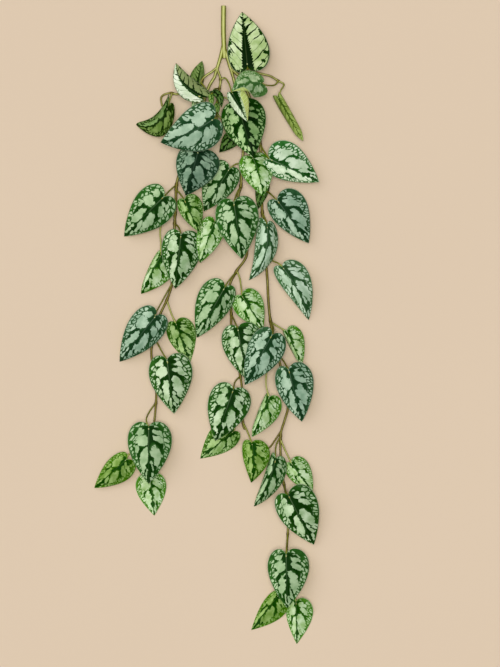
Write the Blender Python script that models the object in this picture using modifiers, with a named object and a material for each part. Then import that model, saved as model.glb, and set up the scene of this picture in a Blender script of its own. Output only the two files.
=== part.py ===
"""A cut spray of satin pothos, laid down on a surface.

A short thick stock forks into two branches. Six leafy stems grow from the ends of the branches:
three short shoots of the crown and three long trailing vines. Each leafy stem is one piece with
its petioles and its heart-shaped blades. +Z points up, the vines trail towards -Y, and the origin
is on the surface below the middle of the spray.
"""

import math
import random
from dataclasses import dataclass

import bmesh
import bpy
from mathutils import Matrix, Vector

MM = 0.001

# The middle of the whole spray in the coordinates of the tables below, in millimetres.
MIDDLE = (-1.74, 0.02)

# Stems and petioles, radii in millimetres.
STOCK_RADIUS = 3.1
BRANCH_RADIUS = 2.3
VINE_RADIUS = 1.9
SHOOT_RADIUS = 1.5
STEM_TIP_RADIUS = 1.3
PETIOLE_RADIUS = 1.1
PETIOLE_TIP_RADIUS = 0.85
STOCK_TAPER = 0.92
STEM_STEP = 17.0
PETIOLE_POINTS = 5
STEM_BEVEL = 2
PETIOLE_BEVEL = 1
JOIN_GAP = 0.3
PETIOLE_DEPTH = 0.55
PETIOLE_REACH = 4.0

# The heart-shaped blade: its margin is a distance from the leaf's base for each angle to the midrib.
BLADE_THICKNESS = 0.8
LOBE_POWER = 1.35
TIP_ANGLE = math.radians(22)
LOBE_CROWDING = 1.25
MARGIN_STEPS = 60

# Across the blade: it creases beside the midrib and may roll up and over near its margin.
CREASE = 0.45
CURL_START = 0.42
CURL_RUN = 0.25
SECTION_STEPS = 24
WAVE_HEIGHT = 0.9
WAVES = 2.2
STATIONS = 8
YOUNG_STATIONS = 7
YOUNG_LENGTH = 46.0
COLUMNS = 2
YOUNG_COLUMNS = 1
CURLED_COLUMNS = 3

STEM_COLOUR = (0.19, 0.20, 0.05)
STEM_ROUGHNESS = 0.5
LEAF_ROUGHNESS = 0.55


@dataclass
class Leaf:
    """One leaf, with its base and tip (x, y, z) in millimetres.

    Left and right are those of someone who looks from base to tip. halves are the widths of the
    left and right half of the blade, folds the angles by which they fall away from the midrib, and
    curls the angles by which their outer parts roll up and over. roll holds the stations of the
    margin, 0 at the base and 1 at the tip, where the curling starts and where it is full. arch is
    the midrib's rise over its own length, bow its bend to the left, and drip the share of the
    length that is drawn out into the tip. stalk holds the places (x, y) that the petiole passes on
    its way from the stem. A leaf whose tip is set below the surface lies flat on it from where it
    gets there.
    """

    name: str
    base: tuple
    tip: tuple
    halves: tuple
    stalk: tuple
    folds: tuple = (20, 20)
    arch: float = 0.07
    bow: float = 0.0
    curls: tuple = (0, 0)
    roll: tuple = (0.2, 0.6)
    drip: float = 0.45


@dataclass
class LeafyStem:
    """A stem that starts at a stub of the stock, its route (x, y, z) and its leaves."""

    name: str
    route: tuple
    radius: float
    colour: tuple
    leaves: tuple
    twigs: tuple = ()


STOCK_ROUTE = ((19.4, 400, 4.6), (19.2, 369, 5.0), (20, 344, 6.0), (20.6, 334, 6.4))
BRANCHES = (
    ((19, 350, 5.6), (15.5, 335, 6.6), (11.3, 321, 7.6)),
    ((20.5, 346, 5.8), (25, 332, 6.8), (28.5, 320, 7.6)),
)
STUBS = {
    "crown_left_shoot": ((12, 323, 7.4), (6, 318, 8.6), SHOOT_RADIUS),
    "left_vine": ((12, 324, 7.4), (8.5, 312, 7.0), VINE_RADIUS),
    "crown_middle_shoot": ((10.6, 323, 7.4), (14.6, 312, 9.4), SHOOT_RADIUS),
    "crown_right_shoot": ((25, 332, 6.8), (33, 327.5, 9.0), SHOOT_RADIUS),
    "middle_vine": ((28, 322, 7.4), (31.5, 310, 6.2), VINE_RADIUS),
    "right_vine": ((27.5, 322, 7.4), (37.5, 313, 7.4), VINE_RADIUS),
}

LEAFY_STEMS = (
    LeafyStem(
        "crown_left_shoot",
        ((-5, 310, 9.5), (-14, 298, 9), (-27, 291, 8), (-39, 289, 7.5), (-47, 290.5, 7),
         (-56, 288, 6), (-59, 283, 5), (-57.5, 274, 4)),
        SHOOT_RADIUS,
        (0.16, 0.24, 0.10),
        (
            Leaf("fold", (-9.5, 285, 30), (-40, 327.5, 14), (14.5, 19), ((-8, 303), (-3, 294)),
                 folds=(30, 45), arch=0.12, bow=8),
            Leaf("small", (-13, 302.5, 12), (-7.5, 331, 5), (11.5, 8.5), ((-8, 306), (-14, 300)),
                 folds=(20, 45), arch=0.05),
            Leaf("curl", (-51, 270.5, 17), (-90, 251, 5), (18.5, 15), ((-45, 290), (-48, 281)),
                 folds=(22, 54), arch=0.14, bow=11, drip=0.12),
            Leaf("sheath", (-15, 283, 13), (-20, 268.5, 15), (4, 4), ((-26, 291), (-17, 288)),
                 folds=(40, 40)),
        ),
    ),
    LeafyStem(
        "crown_right_shoot",
        ((40, 324, 9.5), (49, 323, 9.5), (61, 316, 8.5), (77, 312, 8), (89, 305, 7.5)),
        SHOOT_RADIUS,
        (0.42, 0.52, 0.30),
        (
            Leaf("crest", (49, 325, 22), (42.5, 392.5, 4), (24, 30.5), ((57, 318), (54, 316), (50, 318)),
                 folds=(18, 14), drip=0.4),
            Leaf("curl", (66, 301.5, 33), (30, 290, 44), (19, 18), ((88, 306), (83, 300), (73, 299)),
                 folds=(12, 24), arch=0.05, bow=-4, curls=(160, 0), roll=(0.56, 0.78), drip=0.26),
            Leaf("edge", (88, 284, 20), (119, 230, 12), (15.5, 15.5), ((88, 305), (95, 301), (91, 293)),
                 folds=(84, 84), arch=0.05, drip=0.6),
        ),
    ),
    LeafyStem(
        "crown_middle_shoot",
        ((15.6, 304, 10), (13.5, 291, 11), (12, 278, 11), (11, 262, 10), (13, 250, 8)),
        SHOOT_RADIUS,
        (0.05, 0.15, 0.05),
        (
            Leaf("front", (30.5, 288.5, 29), (49.5, 253, 34), (28, 11), ((16, 307), (21, 309), (26, 302)),
                 folds=(10, 45), arch=0.08, curls=(150, 0)),
            Leaf("shade", (37.5, 273, 19), (57, 208.5, 25), (31, 27), ((13, 286), (22, 284), (32, 278)),
                 folds=(12, 25), arch=0.04),
            Leaf("broad", (6, 255, 43), (-59, 227.5, 29), (30, 29.5), ((12, 276), (12, 268), (10, 258)),
                 folds=(24, 18), arch=0.09, bow=4),
            Leaf("bud_one", (7, 291, 26), (17, 271, 27), (7.5, 6), ((14, 296), (9, 295)),
                 folds=(40, 60), bow=3),
            Leaf("bud_two", (4, 286, 31), (5, 271, 31), (4, 4), ((13, 288), (6, 289)), folds=(40, 40)),
            Leaf("bud_three", (11, 276, 20), (12.5, 262, 24), (4, 4), ((12, 283), (11, 279)),
                 folds=(40, 40)),
            Leaf("back", (35, 239, 12), (14, 216, 9), (11, 11), ((11, 264), (22, 252), (31, 245))),
        ),
    ),
    LeafyStem(
        "left_vine",
        ((6, 307, 6.6), (0, 296, 6.2), (-8, 270, 5.6), (-17, 243, 5), (-28, 212, 5), (-37.5, 185, 5),
         (-40, 171, 5), (-40.5, 152, 5), (-42, 125, 4.6), (-42.5, 94, 4), (-44, 57.5, 4), (-51, 33, 4),
         (-61, 11, 4), (-69, -19, 4), (-71, -39, 4), (-66, -69, 4), (-65, -90, 4), (-67.5, -121, 4),
         (-72, -140, 4), (-76, -158, 4)),
        VINE_RADIUS,
        (0.07, 0.20, 0.06),
        (
            Leaf("one", (-12.5, 215, 30), (-27.5, 161.5, 21), (32.5, 24.5),
                 ((-17, 243), (-12, 232), (-11, 222)), folds=(24, 18), arch=0.10),
            Leaf("two", (-56, 159, 25), (-105, 111, 5), (26, 27.5), ((-40, 176), (-48, 168)),
                 folds=(18, 22)),
            Leaf("three", (-29, 155, 29), (-11, 116, 25), (20, 13), ((-40, 170), (-34, 163)),
                 folds=(26, 30)),
            Leaf("four", (-34, 111, 22), (-41, 45.5, 11), (31, 23), ((-42, 128), (-36, 121)),
                 folds=(30, 16), arch=0.08),
            Leaf("five", (-60, 86, 12), (-84, 39, 2), (26, 11),
                 ((-41, 140), (-56, 130), (-60, 118), (-59, 100)), folds=(20, 65)),
            Leaf("six", (-66, 10, 24), (-111, -46, 4), (23.5, 24), ((-44, 52), (-55, 34), (-65, 15)),
                 folds=(24, 16)),
            Leaf("seven", (-40, 1, 6.5), (-22.5, -47.5, -12), (20.5, 15.5), ((-51, 30), (-46, 14)),
                 folds=(0, 0), arch=0.0),
            Leaf("eight", (-51, -45, 23), (-42.5, -111, 9), (31.5, 25.5), ((-68, -14), (-60, -29)),
                 folds=(22, 15)),
            Leaf("nine", (-74, -129, 24), (-74, -199, 13), (30, 27), ((-66, -98), (-73, -108), (-77, -118)),
                 folds=(18, 15)),
            Leaf("ten", (-103, -169, 13), (-142.5, -204, 2), (21, 15), ((-73, -145), (-97, -160)),
                 folds=(22, 16)),
            Leaf("eleven", (-72.5, -191, 7), (-67.5, -239, -12), (19, 19.5), ((-76, -157), (-74, -176)),
                 folds=(0, 0), arch=0.0),
        ),
    ),
    LeafyStem(
        "middle_vine",
        ((33, 304, 5.8), (36, 290, 5), (40, 268, 4.6), (43.5, 243, 4.4), (44, 219, 4.4), (42, 195, 4.4),
         (41, 174, 4.4), (37.5, 158, 4.4), (43, 128, 4.4), (48.8, 90, 4.4), (36, 68, 4.4), (27, 50, 4.2),
         (27, 32, 4), (29, 16, 4), (29, -1, 4), (34, -31, 4), (40, -62.5, 4), (42.5, -79, 4),
         (44, -100, 4), (43.8, -124, 4), (46, -131, 4.4)),
        VINE_RADIUS,
        (0.07, 0.20, 0.06),
        (
            Leaf("one", (26, 194, 13), (-5, 142.5, 4), (19.5, 25), ((43, 202), (34, 201)), folds=(18, 14)),
            Leaf("two", (32.5, 151, 27), (42.5, 82.5, 15), (30, 26), ((41, 174), (35, 162)),
                 folds=(20, 15)),
            Leaf("three", (7.5, 127.5, 21), (-10, 77.5, 13), (16.5, 17), ((39, 150), (22, 140)),
                 folds=(14, 16)),
            Leaf("four", (20, 45, 24), (-14, -16, 9), (21, 26.5), ((34, 66), (25, 54)), folds=(30, 16)),
            Leaf("five", (43, 35.5, 18), (69, -5, 12), (20.5, 18.5), ((36, 67), (40, 57)),
                 folds=(14, 14)),
            Leaf("six", (37.5, -6, 20), (49, -69, 10), (29.5, 23.5), ((29, 14), (34, 3)),
                 folds=(18, 16)),
            Leaf("seven", (31, -82.5, 23), (9, -145, 12), (28.5, 26.5), ((40, -64), (34, -71)),
                 folds=(22, 16)),
            Leaf("eight", (31, -134, 7), (-10, -167.5, -12), (15.5, 21), ((43, -86), (39, -112)),
                 folds=(0, 0), arch=0.0),
            Leaf("nine", (55, -149, 17), (54, -197.5, 8), (21.5, 14), ((44, -123), (50, -135)),
                 folds=(16, 16), bow=2.5),
        ),
    ),
    LeafyStem(
        "right_vine",
        ((42, 305, 6.6), (50, 290, 5.4), (58, 265, 4.6), (63, 240, 4.4), (66, 219, 4.4), (67, 190, 4.4),
         (67.5, 150, 4.4), (69, 125, 4.4), (71, 94, 4.4), (74, 60, 4.4), (75.5, 31, 4.4), (78, 6, 4.4),
         (83, -20, 4.4), (90, -48, 4.4), (97, -78, 4.4), (100, -102, 4.4), (96, -119, 4.4),
         (91, -137, 4.4), (91, -165, 4.4), (94, -193, 4.4), (99, -222, 4.4), (100, -256, 4.4),
         (98, -290, 4), (97.5, -318, 4)),
        VINE_RADIUS,
        (0.07, 0.20, 0.08),
        (
            Leaf("one", (56, 209, 16), (69, 160, 22), (23, 23), ((65, 230), (58, 221)), folds=(34, 28),
                 arch=0.10, bow=2),
            Leaf("two", (70, 179, 9), (62.5, 145, 5), (9, 9), ((67, 192), (71, 185))),
            Leaf("three", (79, 206, 22), (139, 179, 9), (32, 19), ((67, 226), (72, 214)), folds=(18, 32)),
            Leaf("four", (87.5, 154, 21), (126, 102.5, 7), (31, 19.5), ((68, 171), (77, 165)),
                 folds=(20, 25)),
            Leaf("five", (74, 122.5, 20), (51, 56, 8), (17, 18), ((68, 140), (72, 131)), folds=(45, 35),
                 arch=0.08, bow=8.5),
            Leaf("six", (94, 71, 22), (126, 6, 3), (24, 16), ((71, 90), (80, 81), (88, 77)),
                 folds=(18, 20), bow=4, drip=0.58),
            Leaf("seven", (79, -14, 31), (46, -75, 21), (26, 21.5), ((78, 5), (82, -5)), folds=(24, 18)),
            Leaf("eight", (99, -9, 13), (117.5, -50, 4), (18, 10.5), ((79, 3), (91, -4)), folds=(25, 75)),
            Leaf("nine", (101, -57.5, 25), (117.5, -121, 9), (29, 21), ((87, -35), (95, -46)),
                 folds=(22, 18)),
            Leaf("ten", (76, -91, 18), (55, -140, 15), (22, 12),
                 ((79, -4), (80, -30), (74, -55), (72.5, -74)), folds=(25, 75)),
            Leaf("eleven", (84, -169, 21), (57.5, -227.5, 4), (19.5, 13.5), ((91, -139), (85, -152)),
                 folds=(35, 65), bow=3.5),
            Leaf("twelve", (105, -174, 12), (131, -210, 4), (18.5, 14), ((91, -144), (98, -160)),
                 folds=(25, 25)),
            Leaf("thirteen", (101, -214, 26), (132.5, -275, 6), (31.5, 23.5), ((94, -200), (97, -208)),
                 folds=(20, 17)),
            Leaf("fourteen", (97.5, -287.5, 23), (99, -354, 13), (30, 24), ((100, -262), (98.5, -276)),
                 folds=(20, 16)),
            Leaf("fifteen", (87.5, -339, 7), (54, -382.5, -12), (21, 10), ((97.5, -316), (93, -328)),
                 folds=(0, 0), arch=0.0),
            Leaf("sixteen", (110, -347.5, 7), (111, -400, -13), (21.5, 12.5), ((98, -316), (106, -330)),
                 folds=(0, 0), arch=0.0),
        ),
        twigs=(((91, -131), (84, -144), (78, -152.5), (73, -155)),),
    ),
)


def clear_scene():
    for found in list(bpy.data.objects):
        bpy.data.objects.remove(found, do_unlink=True)


def new_collection(name):
    made = bpy.data.collections.new(name)
    bpy.context.scene.collection.children.link(made)
    return made


def plain_material(name, colour, roughness):
    made = bpy.data.materials.new(name)
    made.use_nodes = True
    shader = made.node_tree.nodes["Principled BSDF"]
    shader.inputs["Base Color"].default_value = (*colour, 1.0)
    shader.inputs["Roughness"].default_value = roughness
    shader.inputs["Metallic"].default_value = 0.0
    return made


def smooth_path(points, steps):
    """A Catmull-Rom curve through the points, with this many steps between two of them."""
    places = [Vector(point) for point in points]
    places = [2 * places[0] - places[1], *places, 2 * places[-1] - places[-2]]
    path = []
    for before, start, end, after in zip(places, places[1:], places[2:], places[3:]):
        for step in range(steps):
            t = step / steps
            path.append(
                0.5
                * (
                    2 * start
                    + (end - before) * t
                    + (2 * before - 5 * start + 4 * end - after) * t**2
                    + (3 * start - before - 3 * end + after) * t**3
                )
            )
    path.append(places[-2])
    return path


def path_lengths(path):
    lengths = [0.0]
    for start, end in zip(path, path[1:]):
        lengths.append(lengths[-1] + (end - start).length)
    return lengths


def spaced_path(path, count):
    """The same path as this many points at equal distances."""
    lengths = path_lengths(path)
    spaced = []
    segment = 0
    for number in range(count):
        wanted = lengths[-1] * number / (count - 1)
        while segment < len(path) - 2 and lengths[segment + 1] < wanted:
            segment += 1
        share = (wanted - lengths[segment]) / (lengths[segment + 1] - lengths[segment])
        spaced.append(path[segment].lerp(path[segment + 1], min(1.0, share)))
    return spaced


def tube(name, collection, path, start_radius, end_radius, bevel):
    """A closed tapering tube along a path in millimetres, as a mesh object."""
    curve = bpy.data.curves.new(name, "CURVE")
    curve.dimensions = "3D"
    curve.bevel_depth = start_radius * MM
    curve.bevel_resolution = bevel
    curve.use_fill_caps = True
    spline = curve.splines.new("POLY")
    spline.points.add(len(path) - 1)
    for number, (point, place) in enumerate(zip(spline.points, path)):
        point.co = (*(place * MM), 1.0)
        share = number / (len(path) - 1)
        point.radius = 1 + share * (end_radius / start_radius - 1)
    holder = bpy.data.objects.new(name, curve)
    collection.objects.link(holder)
    depsgraph = bpy.context.evaluated_depsgraph_get()
    mesh = bpy.data.meshes.new_from_object(holder.evaluated_get(depsgraph))
    made = bpy.data.objects.new(name, mesh)
    made.matrix_world = holder.matrix_world
    bpy.data.objects.remove(holder, do_unlink=True)
    collection.objects.link(made)
    weld = bmesh.new()
    weld.from_mesh(mesh)
    bmesh.ops.remove_doubles(weld, verts=weld.verts, dist=0.01 * MM)
    bmesh.ops.triangulate(weld, faces=weld.faces)
    weld.to_mesh(mesh)
    weld.free()
    return made


def margin_point(angle, drip):
    """The point of the margin at this angle from the midrib, for a blade of length 1."""
    reach = (1 - drip) * max(0.0, math.cos(angle / 2)) ** LOBE_POWER
    reach += drip * (math.exp(-angle / TIP_ANGLE) - math.exp(-math.pi / TIP_ANGLE))
    return reach * math.cos(angle), reach * math.sin(angle)


def widest(drip):
    """The greatest distance of the margin from the midrib, for a blade of length 1."""
    angles = (math.pi * step / MARGIN_STEPS for step in range(MARGIN_STEPS))
    return max(margin_point(angle, drip)[1] for angle in angles)


def smooth_step(value, start, end):
    share = min(1.0, max(0.0, (value - start) / (end - start)))
    return share * share * (3 - 2 * share)


def section(distance, reach, crease, fold, curl):
    """Where a point of the blade goes, out and down, this far from the midrib.

    reach is the distance of the margin. The blade falls by the fold within the crease, and rolls
    up by the curl near its margin.
    """
    out = down = 0.0
    if distance <= 0.0:
        return out, down
    step = distance / SECTION_STEPS
    for number in range(SECTION_STEPS):
        far = (number + 0.5) * step
        rolled = min(1.0, max(0.0, (far / reach - CURL_START) / CURL_RUN))
        slope = fold * min(1.0, far / crease) - curl * rolled
        out += math.cos(slope) * step
        down += math.sin(slope) * step
    return out, down


def leaf_frame(leaf):
    """The blade's length and its axes: along the midrib, to its left, and up."""
    base = Vector(leaf.base)
    along = Vector(leaf.tip) - base
    length = along.length
    along.normalize()
    left = Vector((0, 0, 1)).cross(along).normalized()
    return length, along, left, along.cross(left)


def midrib_point(leaf, frame, x, depth=0.0):
    """The point of the midrib this share of the way from base to tip, or this deep below it."""
    length, along, left, up = frame
    hump = 1 - (2 * x - 1) ** 2
    rise = leaf.arch * length * hump - depth
    return Vector(leaf.base) + along * (x * length) + left * (leaf.bow * hump) + up * rise


def blade_point(leaf, frame, station, across, phase):
    """A point of the blade: station runs from base to tip, across from right margin to left."""
    _, _, left, up = frame
    side = 0 if across > 0 else 1
    angle = math.pi * (1 - station) ** LOBE_CROWDING
    margin_x, margin_y = margin_point(angle, leaf.drip)
    midrib_x = station**2
    spread = abs(across)
    x = midrib_x + (margin_x - midrib_x) * spread
    reach = margin_y * leaf.halves[side] / widest(leaf.drip)
    fold = math.radians(leaf.folds[side])
    curl = math.radians(leaf.curls[side]) * smooth_step(station, *leaf.roll)
    out, down = section(reach * spread, reach, CREASE * leaf.halves[side], fold, curl)
    height = WAVE_HEIGHT if any(leaf.folds) else 0.0
    wave = height * math.sin(math.tau * WAVES * station + phase) * spread**2
    place = midrib_point(leaf, frame, x, down - wave) + left * math.copysign(out, across)
    place.z = max(place.z, BLADE_THICKNESS / 2)
    return place


def blade(leaf, name, collection, phase):
    """A thin arched blade: a grid shaped by the formula, split into triangles, then thickened."""
    frame = leaf_frame(leaf)
    young = frame[0] < YOUNG_LENGTH
    stations = YOUNG_STATIONS if young else STATIONS
    columns = YOUNG_COLUMNS if young else COLUMNS
    if any(leaf.curls):
        columns = CURLED_COLUMNS
    shape = bmesh.new()
    bmesh.ops.create_grid(shape, x_segments=2 * columns, y_segments=stations, size=1.0)
    for vert in shape.verts:
        station = (vert.co.y + 1) / 2
        vert.co = blade_point(leaf, frame, station, vert.co.x, phase) * MM
    bmesh.ops.remove_doubles(shape, verts=shape.verts, dist=0.01 * MM)
    bmesh.ops.triangulate(shape, faces=shape.faces)
    mesh = bpy.data.meshes.new(name)
    shape.to_mesh(mesh)
    shape.free()
    made = bpy.data.objects.new(name, mesh)
    collection.objects.link(made)
    skin = made.modifiers.new("thickness", "SOLIDIFY")
    skin.thickness = BLADE_THICKNESS * MM
    skin.offset = 0.0
    skin.use_rim = True
    return made


def petiole(leaf, name, collection, stem_path):
    """A thin stalk from the nearest point of the stem to the underside of the blade's base."""
    frame = leaf_frame(leaf)
    base = Vector(leaf.base)
    first = Vector((*leaf.stalk[0], 0))
    root = min(stem_path, key=lambda place: (place.xy - first.xy).length)
    flat = [root.xy, *(Vector(place) for place in leaf.stalk[1:]), base.xy]
    run = [0.0]
    for start, end in zip(flat, flat[1:]):
        run.append(run[-1] + (end - start).length)
    target = base.z - PETIOLE_DEPTH
    points = []
    for place, far in zip(flat[:-1], run):
        share = far / run[-1]
        rise = share * share * (3 - 2 * share)
        points.append(Vector((*place, root.z + (target - root.z) * rise)))
    points.append(midrib_point(leaf, frame, 0.0, PETIOLE_DEPTH))
    points.append(midrib_point(leaf, frame, PETIOLE_REACH / frame[0], PETIOLE_DEPTH))
    for place in points:
        place.z = max(place.z, PETIOLE_TIP_RADIUS)
    count = max(PETIOLE_POINTS, len(points))
    path = spaced_path(smooth_path(points, 4), count)
    return tube(name, collection, path, PETIOLE_RADIUS, PETIOLE_TIP_RADIUS, PETIOLE_BEVEL)


def keep_largest(mesh):
    """Drop the loose scraps that the union leaves, and the walls of hollows that it seals."""
    whole = bmesh.new()
    whole.from_mesh(mesh)
    waiting = set(whole.verts)
    largest = set()
    while waiting:
        start = waiting.pop()
        body = {start}
        front = [start]
        while front:
            vert = front.pop()
            for edge in vert.link_edges:
                other = edge.other_vert(vert)
                if other not in body:
                    body.add(other)
                    front.append(other)
        waiting -= body
        if len(body) > len(largest):
            largest = body
    scraps = [vert for vert in whole.verts if vert not in largest]
    bmesh.ops.delete(whole, geom=scraps, context="VERTS")
    whole.to_mesh(mesh)
    whole.free()


def join(base, pieces, name):
    """One Boolean union of the base with a collection of pieces, which is then removed."""
    union = base.modifiers.new("union", "BOOLEAN")
    union.operation = "UNION"
    union.operand_type = "COLLECTION"
    union.collection = pieces
    union.solver = "MANIFOLD"
    depsgraph = bpy.context.evaluated_depsgraph_get()
    mesh = bpy.data.meshes.new_from_object(base.evaluated_get(depsgraph))
    base.modifiers.clear()
    keep_largest(mesh)
    base.data = mesh
    base.name = name
    for piece in list(pieces.objects):
        bpy.data.objects.remove(piece, do_unlink=True)
    bpy.data.collections.remove(pieces)


def build_stock(spray):
    name = "stock"
    pieces = new_collection("stock_branches")
    path = smooth_path(STOCK_ROUTE, 2)
    base = tube(name, spray, path, STOCK_RADIUS, STOCK_RADIUS * STOCK_TAPER, STEM_BEVEL)
    for number, route in enumerate(BRANCHES):
        path = smooth_path(route, 2)
        tube(f"branch_{number}", pieces, path, BRANCH_RADIUS, BRANCH_RADIUS * STOCK_TAPER, STEM_BEVEL)
    for stub, (start, end, radius) in STUBS.items():
        tube(f"stub_{stub}", pieces, [Vector(start), Vector(end)], radius, radius, STEM_BEVEL)
    join(base, pieces, name)
    base.data.materials.clear()
    base.data.materials.append(plain_material("stock_green", STEM_COLOUR, STEM_ROUGHNESS))


def build_leafy_stem(leafy, spray, phases):
    stub_start, stub_end, _ = STUBS[leafy.name]
    heading = (Vector(stub_end) - Vector(stub_start)).normalized()
    start = Vector(stub_end) + heading * JOIN_GAP
    route = [start, start + heading * 2, *(Vector(place) for place in leafy.route)]
    fine = smooth_path(route, 6)
    count = max(4, round(path_lengths(fine)[-1] / STEM_STEP))
    path = [start, *spaced_path(fine[6:], count)]
    base = tube(leafy.name, spray, path, leafy.radius, STEM_TIP_RADIUS, STEM_BEVEL)
    pieces = new_collection(f"{leafy.name}_leaves")
    for leaf in leafy.leaves:
        blade(leaf, f"blade_{leaf.name}", pieces, phases.uniform(0, math.tau))
        petiole(leaf, f"petiole_{leaf.name}", pieces, path)
    for twig in leafy.twigs:
        first = Vector((*twig[0], 0))
        root = min(path, key=lambda place: (place.xy - first.xy).length)
        points = [root, *(Vector((*place, root.z)) for place in twig[1:])]
        tube("twig", pieces, smooth_path(points, 2), PETIOLE_RADIUS, PETIOLE_RADIUS, PETIOLE_BEVEL)
    join(base, pieces, leafy.name)
    base.data.materials.clear()
    base.data.materials.append(plain_material(f"{leafy.name}_green", leafy.colour, LEAF_ROUGHNESS))


def main():
    clear_scene()
    spray = new_collection("satin_pothos_spray")
    phases = random.Random(11)
    build_stock(spray)
    for leafy in LEAFY_STEMS:
        build_leafy_stem(leafy, spray, phases)
    to_middle = Matrix.Translation((-MIDDLE[0] * MM, -MIDDLE[1] * MM, 0))
    for made in spray.objects:
        made.data.transform(to_middle)
        made.data.shade_smooth()
        made.data.set_sharp_from_angle(angle=math.radians(40))


main()
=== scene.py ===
"""A cut spray of satin pothos that lies on a pale surface, seen straight from above.

The blades, petioles and stems follow the same tables and formulas as the solids of the model, in
millimetres, on a finer grid. Every blade carries its own flat coordinates, in which the silver
marbling is drawn, so that the print turns, folds and narrows with the blade.
"""

import math
import random
from dataclasses import dataclass

import bpy
import numpy as np
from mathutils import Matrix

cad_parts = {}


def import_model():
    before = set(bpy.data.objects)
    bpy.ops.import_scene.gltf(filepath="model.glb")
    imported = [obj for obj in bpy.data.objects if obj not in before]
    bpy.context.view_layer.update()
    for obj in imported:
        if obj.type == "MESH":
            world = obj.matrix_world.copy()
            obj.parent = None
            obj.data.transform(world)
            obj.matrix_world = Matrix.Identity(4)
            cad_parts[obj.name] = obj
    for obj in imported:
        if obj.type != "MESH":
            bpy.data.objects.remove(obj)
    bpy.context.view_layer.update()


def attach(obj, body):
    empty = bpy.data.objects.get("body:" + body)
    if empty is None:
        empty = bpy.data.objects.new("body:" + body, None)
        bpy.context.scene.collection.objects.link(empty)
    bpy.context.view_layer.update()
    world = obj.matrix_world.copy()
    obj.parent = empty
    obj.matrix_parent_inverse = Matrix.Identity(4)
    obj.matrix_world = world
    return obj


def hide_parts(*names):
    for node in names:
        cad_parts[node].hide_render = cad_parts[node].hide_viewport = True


MM = 0.001
UP = (0.0, 0.0, 1.0)

# The middle of the whole spray in the coordinates of the tables below, in millimetres.
MIDDLE = (-1.74, 0.02)

# Stems and petioles, in millimetres: radii, the gap at a stub, a stem's straight start, and a
# petiole's reach below its blade.
STOCK_RADIUS = 3.1
BRANCH_RADIUS = 2.3
VINE_RADIUS = 1.9
SHOOT_RADIUS = 1.5
STEM_TIP_RADIUS = 1.3
PETIOLE_RADIUS = 1.1
PETIOLE_TIP_RADIUS = 0.85
STOCK_TAPER = 0.92
JOIN_GAP = 0.3
STEM_LEAD = 2.0
PETIOLE_REACH = 4.0

# The finer stems: steps between two places of a route, sides, the swellings at nodes and at petioles'
# knees as shares of the radius, and how deep a petiole ends below its midrib.
ROUTE_STEPS = 12
STEM_SIDES = 16
PETIOLE_SIDES = 10
NODE_SWELL = 0.42
NODE_LENGTH = 2.4
KNEE_SWELL = 0.3
KNEE_LENGTH = 3.0
KNEE_PLACE = 8.0
JOINT_DEPTH = 1.25

# The heart-shaped blade: its margin is a distance from the leaf's base for each angle to the midrib.
# No blade's middle surface rises above the highest level.
BLADE_THICKNESS = 0.8
SHEET_THICKNESS = 0.5
HIGHEST = 48.2
LOBE_POWER = 1.35
TIP_ANGLE = math.radians(22)
LOBE_CROWDING = 1.25
MARGIN_STEPS = 60

# Across the blade: it creases beside the midrib, waves, and may roll up and over near its margin.
CREASE = 0.45
CURL_START = 0.42
CURL_RUN = 0.25
SECTION_STEPS = 24
LEAST_REACH = 0.001
WAVE_HEIGHT = 0.9
WAVES = 2.2

# The finer blade: its grid, the groove of its midrib, its quilting and the ripples of its margin.
STATIONS = 60
COLUMNS = 14
GROOVE_DEPTH = 0.5
GROOVE_WIDTH = 1.3
QUILT_HEIGHT = 0.22
QUILT_SPACING = 9.0
QUILT_SLANT = 0.8
QUILT_START = (0.05, 0.3)
RIPPLE_HEIGHT = 0.3
RIPPLES = 8.0

# A blade's flat coordinates run over a standard leaf, in millimetres. Two leaves' draws are this far
# apart for each radian between their phases.
PRINT_LENGTH = 70.0
PRINT_HALF = 28.0
DRAW_STEP = 40.0
PHASE_SEED = 11

# The photograph's frame: the width of a pixel at the leaves' level in millimetres, the picture's size,
# and the pixel at the start of the tables' coordinates.
PIXEL = 1.25
FRAME_SIZE = (500, 667)
AXIS_PIXEL = (208, 325)
LEAF_LEVEL = 15.0
LENS = 200.0
SENSOR = 36.0

FULL = (1.0, 1.0, 1.0)


@dataclass
class Leaf:
    """One leaf, with its base and tip (x, y, z) in millimetres.

    Left and right are seen from base to tip: halves are the widths of the blade's two halves, folds
    the angles by which they fall away from the midrib, and curls those by which their outer parts
    roll up and over. roll holds the stations of the margin, 0 at the base and 1 at the tip, where
    the curling starts and where it is full. arch is the midrib's rise over its length, bow its bend
    to the left, and drip the share of the length that is drawn out into the tip. stalk holds the
    places (x, y) that the petiole passes, and tone names the colours. A leaf whose tip is set below
    the surface lies flat on it from where it meets it.
    """

    name: str
    base: tuple
    tip: tuple
    halves: tuple
    stalk: tuple
    folds: tuple = (20, 20)
    arch: float = 0.07
    bow: float = 0.0
    curls: tuple = (0, 0)
    roll: tuple = (0.2, 0.6)
    drip: float = 0.45
    tone: str = "mid"


class LeafyStem:
    """A stem that starts at a stub of the stock, its route (x, y, z), its leaves and its bare twigs."""

    def __init__(self, name, route, *leaves, twigs=()):
        self.name = name
        self.route = route
        self.leaves = leaves
        self.twigs = twigs


@dataclass
class Tone:
    """The colours of a blade, as they look in sRGB, and how far its silver patches spread.

    left and right multiply the colours of the two halves: painted light and shade, one half lighter and
    the other darker as light falls across the fold. stripes holds half the widths of a striped blade's
    dark stripes, along its side veins and at the base of its midrib; other blades have silver patches.
    stalk is how brown the petiole is, from 0, green, to 1.
    """

    dark: tuple
    rim: tuple
    silver: tuple
    bright: tuple
    spread: float = 1.0
    left: tuple = (0.8, 0.82, 0.84)
    right: tuple = FULL
    stripes: tuple = ()
    stalk: float = 0.15


# The bluish grey of the blue, slate, mist and broad tones is partly the blades' own colour and partly a
# painted reflection of cool light on their satin surface.
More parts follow.
